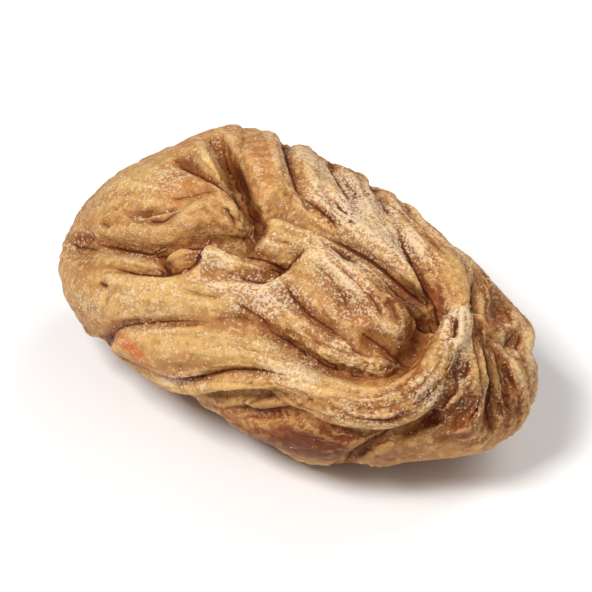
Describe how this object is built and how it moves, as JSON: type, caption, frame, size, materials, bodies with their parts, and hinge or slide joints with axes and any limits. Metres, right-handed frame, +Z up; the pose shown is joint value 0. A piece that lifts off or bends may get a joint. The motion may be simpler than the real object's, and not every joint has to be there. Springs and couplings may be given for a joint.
{
  "type": "dried fig",
  "caption": "Whole dried fig: a flattened egg of deeply folded skin with a sunken eye and a neck curled along its side, lying on a small flat spot.",
  "frame": {"origin": "on the surface that the fruit lies on, under the middle of its bounding box", "axes": "+Z up from that surface, X along the fruit's length with the neck's tip toward +X, -Y toward the side that shows the eye and the neck"},
  "size_m": [0.0544, 0.0366, 0.0265],
  "materials": {
    "fig_skin": "dry, wrinkled, golden brown fruit skin with a dusting of pale sugar"
  },
  "bodies": {
    "root": {"dried_fig": "fig_skin"}
  },
  "joints": []
}
